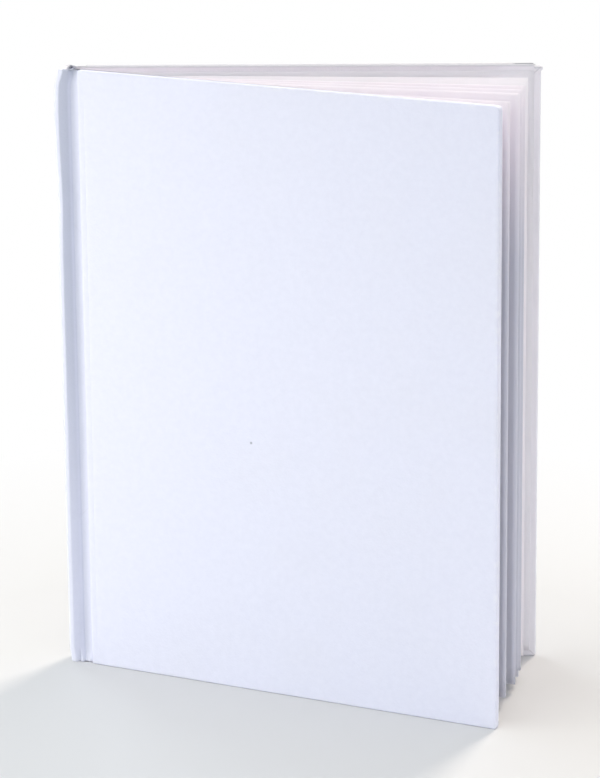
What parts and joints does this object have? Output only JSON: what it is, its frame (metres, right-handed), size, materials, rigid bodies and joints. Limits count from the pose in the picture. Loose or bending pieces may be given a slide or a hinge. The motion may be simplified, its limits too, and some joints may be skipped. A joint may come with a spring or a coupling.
{
  "type": "hardcover notebook",
  "caption": "Thin hardcover notebook with plain white covers, blank pages and hinged covers, standing upright on its tail with the covers ajar.",
  "frame": {"origin": "middle of the book's bounding box on the surface that it stands on, at the tail edges", "axes": "+X from the spine to the fore-edge along the middle of the pages, +Y from the front cover to the back cover, +Z from the tail to the head"},
  "size_m": [0.1572, 0.0748, 0.209],
  "materials": {
    "pages": "uncoated white paper",
    "endpaper": "uncoated white endpaper",
    "gauze": "open cotton gauze stiff with glue",
    "greyboard": "grey bookbinding board",
    "covering": "white covering with a fine leathery grain and a low sheen"
  },
  "bodies": {
    "book_block": {"text_block": "pages", "front_flyleaf": "endpaper", "back_flyleaf": "endpaper", "spine_lining": "gauze", "spine_board": "greyboard", "spine_covering": "covering"},
    "front_cover": {"front_board": "greyboard", "front_covering": "covering", "front_gauze": "gauze", "front_pastedown": "endpaper"},
    "back_cover": {"back_board": "greyboard", "back_covering": "covering", "back_gauze": "gauze", "back_pastedown": "endpaper"}
  },
  "joints": [
    {"name": "front_cover_hinge", "type": "hinge", "parent": "book_block", "child": "front_cover", "pos_m": [-0.07261, -0.00208, 0], "axis": [0, 0, -1], "range_deg": [-12.3, 92.7], "deforming": ["text_block", "front_flyleaf", "back_flyleaf"]},
    {"name": "back_cover_hinge", "type": "hinge", "parent": "book_block", "child": "back_cover", "pos_m": [-0.07261, 0.00208, 0], "axis": [0, 0, 1], "range_deg": [-12.3, 92.7], "deforming": ["text_block", "front_flyleaf", "back_flyleaf"]}
  ]
}
